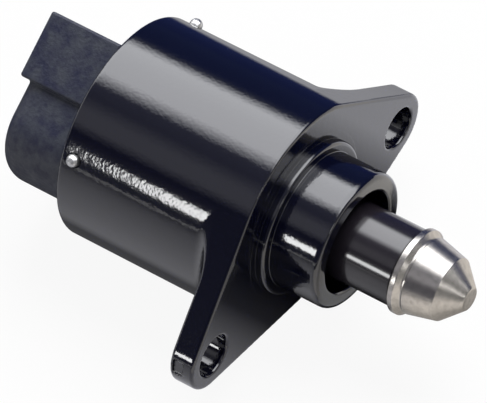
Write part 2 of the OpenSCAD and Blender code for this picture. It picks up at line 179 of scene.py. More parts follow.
def round_and(a, b, radius):
    """Intersection of two distances with a rounded edge."""
    u = np.maximum(a + radius, 0)
    v = np.maximum(b + radius, 0)
    return np.minimum(np.maximum(a, b), -radius) + np.hypot(u, v)


def soft_or(a, b, radius):
    """Union of two distances with a small fillet."""
    u = np.maximum(radius - a, 0)
    v = np.maximum(radius - b, 0)
    return np.maximum(np.minimum(a, b), radius) - np.hypot(u, v)


def ear_outline(y, z):
    """Distance to the flange's outline: the can's circle joined to both ears by straight sides."""
    best = np.full(y.shape, np.inf)
    for side in (-1, 1):
        axis = np.array([side * BOLT_Y, BOLT_Z])
        length = np.linalg.norm(axis)
        axis /= length
        along = y * axis[0] + z * axis[1]
        across = np.abs(-y * axis[1] + z * axis[0])
        slope = (CAN_R - EAR_R) / length
        rise = math.sqrt(1 - slope * slope)
        k = across * -slope + along * rise
        d = across * rise + along * slope - CAN_R
        d = np.where(k < 0, np.hypot(across, along) - CAN_R, d)
        d = np.where(k > rise * length, np.hypot(across, along - length) - EAR_R, d)
        best = np.minimum(best, d)
    return best


def can_outline():
    """Half section of the can, hollow, as (x, r) points."""
    bore = CAN_R - CAN_WALL
    bearing_hi = box_mm("bearing_outer_ring")[1]
    stack_front = box_mm("front_stator_cup")[1][0]
    seat = bearing_hi[1] + FIT_GAP
    lip = COLLAR_BORE_R - 2
    relief_x = -3.2
    relief_inner, relief_outer = COLLAR_BORE_R + 2.4, bore - 1.3
    lead_in = 0.4
    return (arc(CAN_REAR + CAN_RIM, CAN_R - CAN_RIM, CAN_RIM, 180, 90)
            + arc(-FLANGE_EDGE, CAN_R - FLANGE_EDGE, FLANGE_EDGE, 90, 0)
            + [(0, lip), (bearing_hi[0], lip), (bearing_hi[0], seat), (stack_front, seat),
               (stack_front, relief_inner), (relief_x, relief_inner), (relief_x, relief_outer),
               (stack_front, relief_outer), (stack_front, bore), (CAN_REAR + lead_in, bore),
               (CAN_REAR, bore + lead_in)])


def collar_outline():
    """Half section of the collar and its root ring, only there to guide the mesh that is cut away."""
    return [(-2, ROOT_RING_R), (ROOT_RING_H, ROOT_RING_R), (ROOT_RING_H, COLLAR_R), (COLLAR_END, COLLAR_R),
            (COLLAR_END, COLLAR_BORE_R), (-2, COLLAR_BORE_R)]


def ear_outline_behind():
    """Half section of the flange with the concave fillet behind its ears."""
    f = EAR_FILLET
    return ([(0, 1), (0, 2 * CAN_R), (-FLANGE_T, 2 * CAN_R)]
            + arc(-FLANGE_T - f, CAN_R + f, f, 360, 270, 12) + [(-FLANGE_T - f, 1)])


CAN = can_outline()
COLLAR = collar_outline()
FLANGE = ear_outline_behind()
# Where the collar bore starts, behind the mounting face
BORE_START = GUIDE_LO[0]


def housing_distance(p):
    """The cast housing: can, flange with both ears, collar, bores and holes."""
    x, y, z = p[:, 0], p[:, 1], p[:, 2]
    r = np.hypot(y, z)
    flange = round_and(ear_outline(y, z), outline_distance(FLANGE, x, r), FLANGE_EDGE)
    flange = np.maximum(flange, CAN_R - 1 - r)
    d = np.minimum(outline_distance(CAN, x, r), flange)
    d = np.minimum(d, outline_distance(COLLAR, x, r))
    bore = np.maximum(BORE_START - x, r - COLLAR_BORE_R)
    d = np.maximum(d, -bore)
    for side in (-1, 1):
        d = round_and(d, HOLE_R - np.hypot(y - side * BOLT_Y, z - BOLT_Z), HOLE_EDGE)
    d = round_and(d, -pin_distance(x, y, z, CAN_R - CAN_WALL - 1), PIN_HOLE_EDGE)
    return round_and(d, -recess_distance(x, y, z), RECESS_EDGE)


def pin_distance(x, y, z, inner):
    """The three radial pin holes, from an inner radius outwards."""
    best = np.full(x.shape, np.inf)
    for a in PIN_ANGLES:
        out = y * math.cos(a) + z * math.sin(a)
        along = -y * math.sin(a) + z * math.cos(a)
        best = np.minimum(best, np.maximum(np.hypot(x - PIN_X, along) - PIN_HOLE_R, inner - out))
    return best


def recess_distance(x, y, z):
    """Small gate recess in the end of the lower ear."""
    a = RECESS_ANGLE
    out = (y + BOLT_Y) * math.cos(a) + (z - BOLT_Z) * math.sin(a)
    along = -(y + BOLT_Y) * math.sin(a) + (z - BOLT_Z) * math.cos(a)
    opening = np.maximum(np.abs(x - RECESS_X) - RECESS_HALF_T, np.abs(along) - RECESS_HALF_W)
    return np.maximum(opening, EAR_R - RECESS_DEPTH - out)


def block(x, y, z, low, high, edge=0.0):
    """Distance to a block with rounded edges."""
    q = np.stack([np.abs(v - (a + b) / 2) - (b - a) / 2 + edge for v, a, b in zip((x, y, z), low, high)])
    return np.linalg.norm(np.maximum(q, 0), axis=0) + np.minimum(q.max(axis=0), 0) - edge


def body_outline():
    """Outline of the body behind the can: two large corners below and two small ones above."""
    rounds = []
    for side in (-1, 1):
        rounds.append((BODY_CORNER - BODY_DROP, side * (BODY_HALF - BODY_CORNER), BODY_CORNER))
        rounds.append((HOOD_FLOOR + BODY_EDGE, side * (BODY_HALF - BODY_EDGE), BODY_EDGE))
    points = []
    for a in np.radians(np.arange(0, 360, 5)):
        c = max(rounds, key=lambda q: q[0] * math.cos(a) + q[1] * math.sin(a) + q[2])
        points.append((c[0] + c[2] * math.cos(a), c[1] + c[2] * math.sin(a)))
    return points


def spigot_outline():
    """Half section of the spigot that plugs into the can, as (x, r) points."""
    c, f = CAN_REAR, SPIGOT_FRONT
    groove_x, groove_half, groove_r = f - 1.55, 0.75, 14.2
    inner = SPIGOT_R - SPIGOT_WALL
    edge = 0.3
    bush_r, bush_depth = 5.6 + FIT_GAP, 4.05
    end_r, end_depth = 4.3, 5.25
    past_axis = -5
    return [(c - 1, past_axis), (c - 1, BOSS_R), (c + edge, BOSS_R), (c + edge, SPIGOT_R),
            (groove_x - groove_half, SPIGOT_R), (groove_x - groove_half, groove_r),
            (groove_x + groove_half, groove_r), (groove_x + groove_half, SPIGOT_R),
            (f - edge, SPIGOT_R), (f, SPIGOT_R - edge), (f, inner), (c + 1, inner), (c + 1, BOSS_R),
            (f, BOSS_R), (f, bush_r), (f - bush_depth, bush_r), (f - bush_depth, end_r),
            (f - end_depth, end_r), (f - end_depth, past_axis)]


BODY_OUTLINE = body_outline()
SPIGOT = spigot_outline()


def moulding_distance(p):
    """The rear moulding: body, hood with its socket and latch slot, ribbed spigot and the blades' slots."""
    x = p[:, 0]
    turn_cos, turn_sin = math.cos(CAP_TURN), math.sin(CAP_TURN)
    y = p[:, 1] * turn_cos + p[:, 2] * turn_sin
    z = -p[:, 1] * turn_sin + p[:, 2] * turn_cos
    rear, front = CAN_REAR - HOOD_LEN, CAN_REAR - 0.05
    body = round_and(outline_distance(BODY_OUTLINE, y, z), CAN_REAR - BODY_LEN - x, BODY_EDGE)
    hood = block(x, y, z, (rear, HOOD_FLOOR, -HOOD_HALF), (front + 4, HOOD_TOP, HOOD_HALF), 0.4)
    d = np.maximum(soft_or(body, hood, 0.3), x - front)
    socket = block(x, y, z, (rear - 5, HOOD_FLOOR + HOOD_WALL, HOOD_WALL - HOOD_HALF),
                   (rear + SOCKET_DEPTH, HOOD_TOP - HOOD_WALL, HOOD_HALF - HOOD_WALL), 0.35)
    d = round_and(d, -socket, 0.3)
    latch = block(x, y, z, (rear + LATCH_FROM, HOOD_TOP - HOOD_WALL - 1, -LATCH_HALF),
                  (rear + LATCH_TO, HOOD_TOP + 2, LATCH_HALF), 0.2)
    d = round_and(d, -latch, 0.2)
    spigot = outline_distance(SPIGOT, x, np.hypot(y, z))
    rib_half = 0.6
    for degrees in range(30, 390, 60):
        a = math.radians(degrees)
        out = y * math.cos(a) + z * math.sin(a)
        along = -y * math.sin(a) + z * math.cos(a)
        rib = block(x, out, along, (CAN_REAR + 0.8, BOSS_R - 0.2, -rib_half),
                    (CAN_REAR + 5, SPIGOT_R - SPIGOT_WALL + 0.2, rib_half), 0.1)
        spigot = np.minimum(spigot, rib)
    d = np.minimum(d, spigot)
    middle = (HOOD_FLOOR + HOOD_TOP) / 2
    half_t = TERMINAL_T / 2 + FIT_GAP
    half_w = TERMINAL_W / 2 + FIT_GAP
    slot_front = CAN_REAR + 1.4 + FIT_GAP
    for i in range(4):
        across = (i - 1.5) * TERMINAL_PITCH
        slot = block(x, y, z, (rear, middle - half_t, across - half_w),
                     (slot_front, middle + half_t, across + half_w))
        d = np.maximum(d, -slot)
    return np.maximum(d, -pin_distance(x, p[:, 1], p[:, 2], CAN_R - CAN_WALL - 2.1))


def gradient(distance, p, step=0.02):
    """Unit direction in which a distance grows."""
    g = np.empty_like(p)
    for i in range(3):
        move = np.zeros(3)
        move[i] = step
        g[:, i] = distance(p + move) - distance(p - move)
    return g / np.maximum(np.linalg.norm(g, axis=1, keepdims=True), 1e-9)


def settle(p, distance, rounds):
    """Moves points on to the surface that distance describes."""
    for _ in range(rounds):
        p = p - np.clip(distance(p), -0.5, 0.5)[:, None] * gradient(distance, p)
    return p


def shown(name, mesh, body):
    """Links a mesh as a piece that rides on a body."""
    piece = bpy.data.objects.new(name, mesh)
    bpy.context.scene.collection.objects.link(piece)
    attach(piece, body)
    return piece


def cast_mesh(node, distance, voxel, leave_out=None):
    """A dense even mesh of a CAD node, moved on to the rounded shape that distance gives."""
    source = frame["nodes"][node].data.copy()
    scratch = bpy.data.objects.new("scratch", source)
    bpy.context.scene.collection.objects.link(scratch)
    remesh = scratch.modifiers.new("voxels", "REMESH")
    remesh.mode = "VOXEL"
    remesh.voxel_size = voxel * MM
    done = scratch.evaluated_get(bpy.context.evaluated_depsgraph_get())
    mesh = bpy.data.meshes.new_from_object(done)
    bpy.data.objects.remove(scratch)
    bpy.data.meshes.remove(source)
    mesh.materials.clear()
    co = np.empty(len(mesh.vertices) * 3, np.float64)
    mesh.vertices.foreach_get("co", co)
    p = co.reshape(-1, 3) / MM
    p = settle(p, distance, 3)
    edges = np.empty(len(mesh.edges) * 2, np.int64)
    mesh.edges.foreach_get("vertices", edges)
    a, b = edges.reshape(-1, 2).T
    count = np.bincount(a, minlength=len(p)) + np.bincount(b, minlength=len(p))
    for _ in range(3):
        mean = np.stack([np.bincount(a, p[b, i], len(p)) + np.bincount(b, p[a, i], len(p))
                         for i in range(3)], axis=1)
        p = settle(p + 0.5 * (mean / count[:, None] - p), distance, 1)
    p = settle(p, distance, 2)
    normals = gradient(distance, p)
    mesh.vertices.foreach_set("co", (p * MM).ravel())
    mesh.polygons.foreach_set("use_smooth", np.ones(len(mesh.polygons), bool))
    mesh.update()
    if leave_out:
        drop = leave_out(p)
        bm = bmesh.new()
        bm.from_mesh(mesh)
        faces = [f for f in bm.faces if all(drop[v.index] for v in f.verts)]
        bmesh.ops.delete(bm, geom=faces, context="FACES")
        bm.to_mesh(mesh)
        bm.free()
        co = np.empty(len(mesh.vertices) * 3, np.float64)
        mesh.vertices.foreach_get("co", co)
        normals = gradient(distance, co.reshape(-1, 3) / MM)
    mesh.normals_split_custom_set_from_vertices(normals)
    return mesh


def turned_mesh(name, outline, segments=160):
    """A closed ring turned about the X axis from (x, r) points in millimetres; r may be 0 at the ends."""
    mesh = bpy.data.meshes.new(name)
    bm = bmesh.new()
    rings = []
    for x, r in outline:
        count = 1 if r < 1e-6 else segments
        angles = [2 * math.pi * i / segments for i in range(count)]
        rings.append([bm.verts.new((x * MM, r * math.cos(a) * MM, r * math.sin(a) * MM)) for a in angles])
    closed = outline[0][1] > 1e-6
    pairs = list(zip(rings, rings[1:] + rings[:1])) if closed else list(zip(rings, rings[1:]))
    for a, b in pairs:
        for i in range(segments):
            j = (i + 1) % segments
            corners = [a[i % len(a)], a[j % len(a)], b[j % len(b)], b[i % len(b)]]
            corners = list(dict.fromkeys(corners))
            if len(corners) > 2:
                bm.faces.new(corners)
    bmesh.ops.recalc_face_normals(bm, faces=bm.faces)
    for face in bm.faces:
        face.smooth = True
    bm.to_mesh(mesh)
    bm.free()
    return mesh


# Materials
def material(name, colour, roughness, metallic=0.0, coat=0.0, coat_roughness=0.05):
    m = bpy.data.materials.new(name)
    m.use_nodes = True
    shader = m.node_tree.nodes["Principled BSDF"]
    shader.inputs["Base Color"].default_value = (*colour, 1)
    shader.inputs["Roughness"].default_value = roughness
    shader.inputs["Metallic"].default_value = metallic
    shader.inputs["Coat Weight"].default_value = coat
    shader.inputs["Coat Roughness"].default_value = coat_roughness
    return m, m.node_tree, shader


def add(tree, kind, **values):
    """Adds a node; keys that name an input set it, the others are properties."""
    node = tree.nodes.new(kind)
    for key, value in values.items():
        if key in node.inputs:
            node.inputs[key].default_value = value
        else:
            setattr(node, key, value)
    return node


def noise(tree, size, detail=2.0, stretch=(1, 1, 1), roughness=0.5):
    """Noise whose blobs are about size metres across, in the object's own space."""
    place = add(tree, "ShaderNodeTexCoord")
    scale = add(tree, "ShaderNodeMapping")
    scale.inputs["Scale"].default_value = [s / size for s in stretch]
    texture = add(tree, "ShaderNodeTexNoise", Scale=1.0, Detail=detail, Roughness=roughness)
    tree.links.new(place.outputs["Object"], scale.inputs["Vector"])
    tree.links.new(scale.outputs["Vector"], texture.inputs["Vector"])
    return texture.outputs["Fac"]


def bump(tree, heights, sockets):
    """Stacks bumps of (height output, distance in metres) and feeds the shader's normals."""
    last = None
    for output, distance in heights:
        node = add(tree, "ShaderNodeBump", Strength=1.0, Distance=distance)
        tree.links.new(output, node.inputs["Height"])
        if last:
            tree.links.new(last.outputs["Normal"], node.inputs["Normal"])
        last = node
    for socket in sockets:
        tree.links.new(last.outputs["Normal"], socket)


def ramp(tree, output, stops):
    """Colour ramp through (position, colour) stops."""
    node = add(tree, "ShaderNodeValToRGB")
    elements = node.color_ramp.elements
    while len(elements) < len(stops):
        elements.new(0.5)
    for element, (position, colour) in zip(elements, stops):
        element.position = position
        element.color = (*colour, 1)
    tree.links.new(output, node.inputs["Fac"])
    return node.outputs["Color"]


def gloss_paint():
    m, tree, shader = material("gloss_black_paint", (0.0018, 0.0022, 0.0095), 0.11, coat=1.0)
    peel = noise(tree, 0.0011, 1.5)
    fine = noise(tree, 0.00042, 1.0)
    bump(tree, [(peel, 0.000009), (fine, 0.000009)], [shader.inputs["Normal"], shader.inputs["Coat Normal"]])
    return m


def moulded_plastic():
    m, tree, shader = material("moulded_plastic", (0.02, 0.022, 0.03), 0.52)
    cloud = noise(tree, 0.0026, 5.0, roughness=0.68)
    colour = ramp(tree, cloud, [(0.38, (0.004, 0.006, 0.025)), (0.62, (0.034, 0.038, 0.052))])
    tree.links.new(colour, shader.inputs["Base Color"])
    grain = noise(tree, 0.0005, 3.0)
    bump(tree, [(grain, 0.00007)], [shader.inputs["Normal"]])
    return m


def turned_metal(name="turned_metal", colour=(0.56, 0.53, 0.495), roughness=0.27):
    m, tree, shader = material(name, colour, roughness, metallic=1.0)
    lathe = noise(tree, 0.00025, 2.0, stretch=(1, 0.02, 0.02))
    pits = noise(tree, 0.0008, 3.0)
    bump(tree, [(lathe, 0.000008), (pits, 0.000004)], [shader.inputs["Normal"]])
    tint = ramp(tree, pits, [(0.25, tuple(0.82 * c for c in colour)), (0.6, colour)])
    tree.links.new(tint, shader.inputs["Base Color"])
    return m


def sleeve_finish():
    m, tree, shader = material("burnished_black", (0.013, 0.011, 0.015), 0.2, coat=0.8, coat_roughness=0.08)
    lathe = noise(tree, 0.0003, 2.0, stretch=(1, 0.05, 0.05))
    bump(tree, [(lathe, 0.000006)], [shader.inputs["Normal"]])
    return m


def plain(name, colour, roughness, metallic=0.0, size=0.0006, depth=0.000006):
    """A fine-grained material for an inner piece."""
    m, tree, shader = material(name, colour, roughness, metallic)
    grain = noise(tree, size, 3.0)
    bump(tree, [(grain, depth)], [shader.inputs["Normal"]])
    return m


PAINT = gloss_paint()
MOULDED = moulded_plastic()
TURNED = turned_metal()
SLEEVE = sleeve_finish()


def on_collar(p):
    """Points of the collar and its root ring, which a turned piece shows instead."""
    r = np.hypot(p[:, 1], p[:, 2])
    return (p[:, 0] > -0.5) & (r < ROOT_RING_R + 0.75)


def cast_housing():
    piece = shown("cast_housing", cast_mesh("housing", housing_distance, HOUSING_VOXEL, on_collar), BODY)
    piece.data.materials.append(PAINT)
    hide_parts("housing")


def moulded_rear():
    piece = shown("moulded_rear", cast_mesh("rear_moulding", moulding_distance, MOULDING_VOXEL), BODY)
    piece.data.materials.append(MOULDED)
    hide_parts("rear_moulding")


def rounded(points, radius, steps=4, hold=0.05):
    """Rounds the corners of a closed (x, r) outline; hold keeps the flats beside a corner flat."""
    p = [np.array(q, float) for q in points]
    sizes = radius if isinstance(radius, (list, tuple)) else [radius] * len(p)
    out = []
    for i, here in enumerate(p):
        size = sizes[i]
        to_last = p[i - 1] - here
        to_next = p[(i + 1) % len(p)] - here
        if not size or min(np.linalg.norm(to_last), np.linalg.norm(to_next)) < 1e-6:
            out.append(tuple(here))
            continue
        a = to_last / np.linalg.norm(to_last)
        b = to_next / np.linalg.norm(to_next)
        half = math.acos(np.clip(a @ b, -1, 1)) / 2
        back = min(size / math.tan(half), 0.45 * min(np.linalg.norm(to_last), np.linalg.norm(to_next)))
        start, end = here + a * back, here + b * back
        if np.linalg.norm(to_last) > 4 * back + 4 * hold:
            out.append(tuple(start + a * hold))
        for k in range(steps + 1):
            t = k / steps
            out.append(tuple((1 - t) ** 2 * start + 2 * t * (1 - t) * here + t * t * end))
        if np.linalg.norm(to_next) > 4 * back + 4 * hold:
            out.append(tuple(end + b * hold))
    return out


def turned_piece(name, node, outline, finish, body, segments=192):
    piece = shown(name, turned_mesh(name, outline, segments), body)
    piece.data.materials.append(finish)
    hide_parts(node)


def cast_collar():
    """Collar and root ring, with a thin skirt that lies on the flange."""
    skirt = ROOT_RING_R + 1.2
    lift = 0.012
    edge = 0.004
    bore = COLLAR_BORE_R - lift
    rear = -0.9
    outline = [(-0.4, skirt), (lift - edge, skirt), (lift, skirt - edge), (lift, skirt - 0.03),
               (lift, ROOT_RING_R), (ROOT_RING_H, ROOT_RING_R), (ROOT_RING_H, COLLAR_R),
               (COLLAR_END, COLLAR_R), (COLLAR_END, bore), (rear, bore), (rear, COLLAR_BORE_R + 1)]
    radii = [0, 0, 0, 0, 0.03, ROOT_RING_EDGE, 0.12, COLLAR_RIM, COLLAR_BORE_EDGE, 0, 0]
    turned_piece("cast_collar", "housing", rounded(outline, radii, 6, 0.06), PAINT, BODY, 256)


def turned_tip():
    """Spigot in the sleeve, ring, shallow groove, long cone and short nose cone, hollow for the screw."""
    lo, hi = box_mm("pintle_tip")
    nose, ring_r = hi[0], hi[1]
    back = box_mm("plunger_sleeve")[1][0] + FIT_GAP
    ring_flat, ring_w = back + 0.95, back + 1.6
    groove_r, cone_r = 5.9, 6.02
    shoulder_x, shoulder_r = nose - 3.35, 4.95
    nose_r = 1.75
    spigot_r = SLEEVE_BORE_R - FIT_GAP
    hole_r, hole_end = 2 + FIT_GAP, back + 2.2
    outline = [(lo[0], hole_r), (lo[0], spigot_r), (back, spigot_r), (back, ring_r), (ring_flat, ring_r),
               (ring_w, cone_r), (ring_w + 0.15, groove_r), (ring_w + 0.35, groove_r), (ring_w + 0.5, cone_r),
               (shoulder_x, shoulder_r), (nose, nose_r), (nose, 0), (hole_end, 0), (hole_end, hole_r)]
    radii = [0.1, 0.3, 0, 0.25, 0.2, 0.05, 0.06, 0.06, 0.08, 0.12, 0.55, 0, 0, 0]
    turned_piece("turned_tip", "pintle_tip", rounded(outline, radii), TURNED, PLUNGER)


def turned_sleeve():
    """The sleeve: a cup with the screw's hole in its floor and a chamfer in front."""
    lo, hi = box_mm("plunger_sleeve")
    r = hi[1]
    hole_r = 2.5 + FIT_GAP
    floor = lo[0] + 2
    outline = [(lo[0], hole_r), (lo[0], r), (hi[0] - 0.28, r), (hi[0], r - 0.27), (hi[0], SLEEVE_BORE_R),
               (floor, SLEEVE_BORE_R), (floor, hole_r)]
    radii = [0.1, 0.5, 0.08, 0.05, 0, 0.2, 0]
    turned_piece("turned_sleeve", "plunger_sleeve", rounded(outline, radii), SLEEVE, PLUNGER)


def finish_nodes():
    """Gives every carried-over node its finish."""
    steel = plain("ground_steel", (0.55, 0.55, 0.56), 0.22, 1.0, 0.0005, 0.000003)
    sheet = plain("zinc_plated_sheet", (0.52, 0.52, 0.50), 0.38, 1.0, 0.0012, 0.00001)
    nylon = plain("natural_nylon", (0.62, 0.57, 0.42), 0.45, 0.0, 0.0009, 0.00001)
    copper = wound_copper()
    finishes = {
        "terminals": plain("tinned_brass", (0.62, 0.58, 0.50), 0.28, 1.0, 0.0007, 0.000005),
        "retaining_pins": plain("bright_pin_steel", (0.66, 0.66, 0.65), 0.34, 1.0, 0.0004, 0.00003),
        "cap_seal": plain("black_rubber", (0.012, 0.012, 0.012), 0.6, 0.0, 0.0004, 0.000015),
        "front_stator_cup": sheet, "rear_stator_cup": sheet,
        "front_pole_plate": sheet, "rear_pole_plate": sheet,
        "front_bobbin": nylon, "rear_bobbin": nylon,
        "front_winding": copper, "rear_winding": copper,
        "rotor_magnet": plain("ferrite_magnet", (0.045, 0.045, 0.05), 0.55, 0.0, 0.0005, 0.00002),
        "rotor_hub": plain("acetal", (0.72, 0.70, 0.64), 0.35, 0.0, 0.001, 0.000008),
        "rotor_nut": plain("brass", (0.70, 0.48, 0.18), 0.3, 1.0, 0.0006, 0.000006),
        "bearing_outer_ring": steel, "bearing_inner_ring": steel, "bearing_balls": steel,
        "preload_washer": sheet, "stop_ring": plain("stop_rubber", (0.015, 0.015, 0.015), 0.65),
        "bearing_cage": plain("pressed_brass", (0.66, 0.48, 0.22), 0.4, 1.0),
        "rear_bush": plain("sintered_bronze", (0.42, 0.28, 0.14), 0.5, 1.0, 0.0005, 0.00003),
        "guide_bush": plain("guide_plastic", (0.02, 0.02, 0.022), 0.5),
        "lead_screw": TURNED,
    }
    for node, finish in finishes.items():
        piece = frame["nodes"][node]
        piece.data.materials.clear()
        piece.data.materials.append(finish)


def wound_copper():
    """Copper wire wound in even turns along the axis."""
    m, tree, shader = material("wound_copper", (0.62, 0.24, 0.10), 0.3, metallic=1.0)
    place = add(tree, "ShaderNodeTexCoord")
    turns = add(tree, "ShaderNodeTexWave", Scale=900.0, Distortion=0.3)
    tree.links.new(place.outputs["Object"], turns.inputs["Vector"])
    bump(tree, [(turns.outputs["Fac"], 0.00006)], [shader.inputs["Normal"]])
    return m


cast_housing()
cast_collar()
moulded_rear()
turned_tip()
turned_sleeve()
finish_nodes()

# Camera, matched to the photograph: angles, metres, and the origin's place in pixels from its middle
AZIMUTH = math.radians(41.24)
ELEVATION = math.radians(53.58)
ROLL = math.radians(-8.31)
DISTANCE = 0.9
PHOTO_W = 487
PX_PER_MM = 6.934
ORIGIN_PX = (60.16, 13.67)


def photo_camera():
    """The camera that took the photograph, as fitted to the valve's outlines."""
    back = Vector((math.sin(AZIMUTH) * math.cos(ELEVATION), -math.cos(AZIMUTH) * math.cos(ELEVATION),
                   math.sin(ELEVATION)))
    level = Vector((math.cos(AZIMUTH), math.sin(AZIMUTH), 0))
    top = back.cross(level)
    right = math.cos(ROLL) * level + math.sin(ROLL) * top
    up = -math.sin(ROLL) * level + math.cos(ROLL) * top
    focal_px = PX_PER_MM * DISTANCE / MM
    look = -back - right * (ORIGIN_PX[0] / focal_px) + up * (ORIGIN_PX[1] / focal_px)
    look.normalize()
    side = look.cross(up).normalized()
    camera = bpy.data.cameras.new("camera")
    camera.sensor_fit = "HORIZONTAL"
    camera.sensor_width = 36
    camera.lens = focal_px / PHOTO_W * camera.sensor_width
    camera.clip_end = 20
    holder = bpy.data.objects.new("camera", camera)
    holder.matrix_world = Matrix.Translation(back * DISTANCE) @ Matrix(
        (side, side.cross(look), -look)).transposed().to_4x4()
    bpy.context.scene.collection.objects.link(holder)
    bpy.context.scene.camera = holder


def area_light(name, direction, distance, size, watts, glossy=True):
    """A soft box that faces the object from a direction."""
    lamp = bpy.data.lights.new(name, "AREA")
    lamp.shape = "RECTANGLE"
    lamp.size, lamp.size_y = size
    lamp.energy = watts
    holder = bpy.data.objects.new(name, lamp)
    place = Vector(direction).normalized()
    across = Vector((1, 0, 0)) - place * place.x
    across.normalize()
    holder.matrix_world = Matrix.Translation(place * distance) @ Matrix(
        (across, place.cross(across), place)).transposed().to_4x4()
    holder.visible_glossy = glossy
    bpy.context.scene.collection.objects.link(holder)


def around_axis(angle):
    """Direction at an angle about the valve axis, in degrees from +Y towards +Z."""
    a = math.radians(angle)
    return (0, math.cos(a), math.sin(a))


def grey(level):
    return (level, level, level * 1.06)


def warm(level):
    return (level, level * 0.96, level * 0.91)


# Painted reflection colours, which only reflections show: dark bands, a grey haze band and a bright panel
# that stands in for a softbox mirrored in the paint
PAINTED_DARK_REFLECTION = (0.006, 0.009, 0.026)
PAINTED_BLUE_DARK = (0.04, 0.06, 0.20)
PAINTED_PANEL_HIGHLIGHT = (0.92, 0.93, 0.96)
PAINTED_HAZE_REFLECTION = (0.086, 0.086, 0.094)

# Share of the floor's cards that a second reflection shows
FLOOR_AGAIN = 0.15

# The strip lamp: place along the axis and across it, size, and the radiance of its face
STRIP_X = -0.262
STRIP_REACH = 0.7
STRIP_ANGLE = math.radians(163.6)
STRIP_SIZE = (0.13, 0.115)
STRIP_RADIANCE = 10


def background_share(tree, share):
    """Share of the plain white background that camera, glossy and transmission rays see."""
    rays = add(tree, "ShaderNodeLightPath")
    seen = rays.outputs["Is Camera Ray"]
    for other in ("Is Glossy Ray", "Is Transmission Ray"):
        either = add(tree, "ShaderNodeMath", operation="MAXIMUM")
        tree.links.new(seen, either.inputs[0])
        tree.links.new(rays.outputs[other], either.inputs[1])
        seen = either.outputs[0]
    part = add(tree, "ShaderNodeMath", operation="MULTIPLY")
    part.inputs[1].default_value = share
    tree.links.new(seen, part.inputs[0])
    return part.outputs[0]


def flat_corners(x0, x1, y0, y1, z):
    """Corners of a level rectangle."""
    return [(x0, y0, z), (x1, y0, z), (x1, y1, z), (x0, y1, z)]


def studio_floor():
    """Pale floor, which keeps the object's shadow under the plain white that the camera sees."""
    mesh = bpy.data.meshes.new("floor")
    mesh.from_pydata(flat_corners(-6, 6, -6, 6, FLOOR_Z), [], [(0, 1, 2, 3)])
    floor = bpy.data.objects.new("floor", mesh)
    bpy.context.scene.collection.objects.link(floor)
    m, tree, shader = material("floor_white", (0.8, 0.8, 0.8), 0.9)
    glow = add(tree, "ShaderNodeEmission")
    blend = add(tree, "ShaderNodeMixShader")
    tree.links.new(background_share(tree, 0.92), blend.inputs["Fac"])
    tree.links.new(shader.outputs["BSDF"], blend.inputs[1])
    tree.links.new(glow.outputs["Emission"], blend.inputs[2])
    tree.links.new(blend.outputs["Shader"], tree.nodes["Material Output"].inputs["Surface"])
    mesh.materials.append(m)


def studio_world():
    """White where the camera, polished faces and clear pieces see it, and a plain dim light elsewhere."""
    world = bpy.data.worlds.new("studio")
    bpy.context.scene.world = world
    world.use_nodes = True
    tree = world.node_tree
    white = tree.nodes["Background"]
    white.inputs["Color"].default_value = (1, 1, 1, 1)
    dim = add(tree, "ShaderNodeBackground", Strength=0.35)
    pick = add(tree, "ShaderNodeMixShader")
    tree.links.new(background_share(tree, 1), pick.inputs["Fac"])
    tree.links.new(dim.outputs["Background"], pick.inputs[1])
    tree.links.new(white.outputs["Background"], pick.inputs[2])
    tree.links.new(pick.outputs["Shader"], tree.nodes["World Output"].inputs["Surface"])


def painted_reflection_card(name, points, faces, strength, again=0.6):
    """A glowing card that paints a reflection: only reflections show it; a second reflection shows a share of
    it.
    """
    mesh = bpy.data.meshes.new(name)
    mesh.from_pydata(points, [], faces)
    card = bpy.data.objects.new(name, mesh)
    bpy.context.scene.collection.objects.link(card)
    card.visible_camera = False
    card.visible_diffuse = False
    card.visible_transmission = False
    card.visible_shadow = False
    m = bpy.data.materials.new(name)
    m.use_nodes = True
    tree = m.node_tree
    tree.nodes.remove(tree.nodes["Principled BSDF"])
    glow = add(tree, "ShaderNodeEmission")
    first = math_node(tree, "LESS_THAN", add(tree, "ShaderNodeLightPath").outputs["Glossy Depth"], 1.5)
    level = math_node(tree, "MULTIPLY", math_node(tree, "MAXIMUM", first, again), strength)
    tree.links.new(level, glow.inputs["Strength"])
    tree.links.new(glow.outputs["Emission"], tree.nodes["Material Output"].inputs["Surface"])
    mesh.materials.append(m)
    return tree, glow


def position(tree):
    """X, Y and Z of the shaded point as separate outputs."""
    place = add(tree, "ShaderNodeTexCoord")
    split = add(tree, "ShaderNodeSeparateXYZ")
    tree.links.new(place.outputs["Object"], split.inputs["Vector"])
    return split.outputs


def math_node(tree, operation, first, second):
    node = add(tree, "ShaderNodeMath", operation=operation)
    for socket, value in zip(node.inputs, (first, second)):
        if isinstance(value, (int, float)):
            socket.default_value = value
        else:
            tree.links.new(value, socket)
    return node.outputs[0]


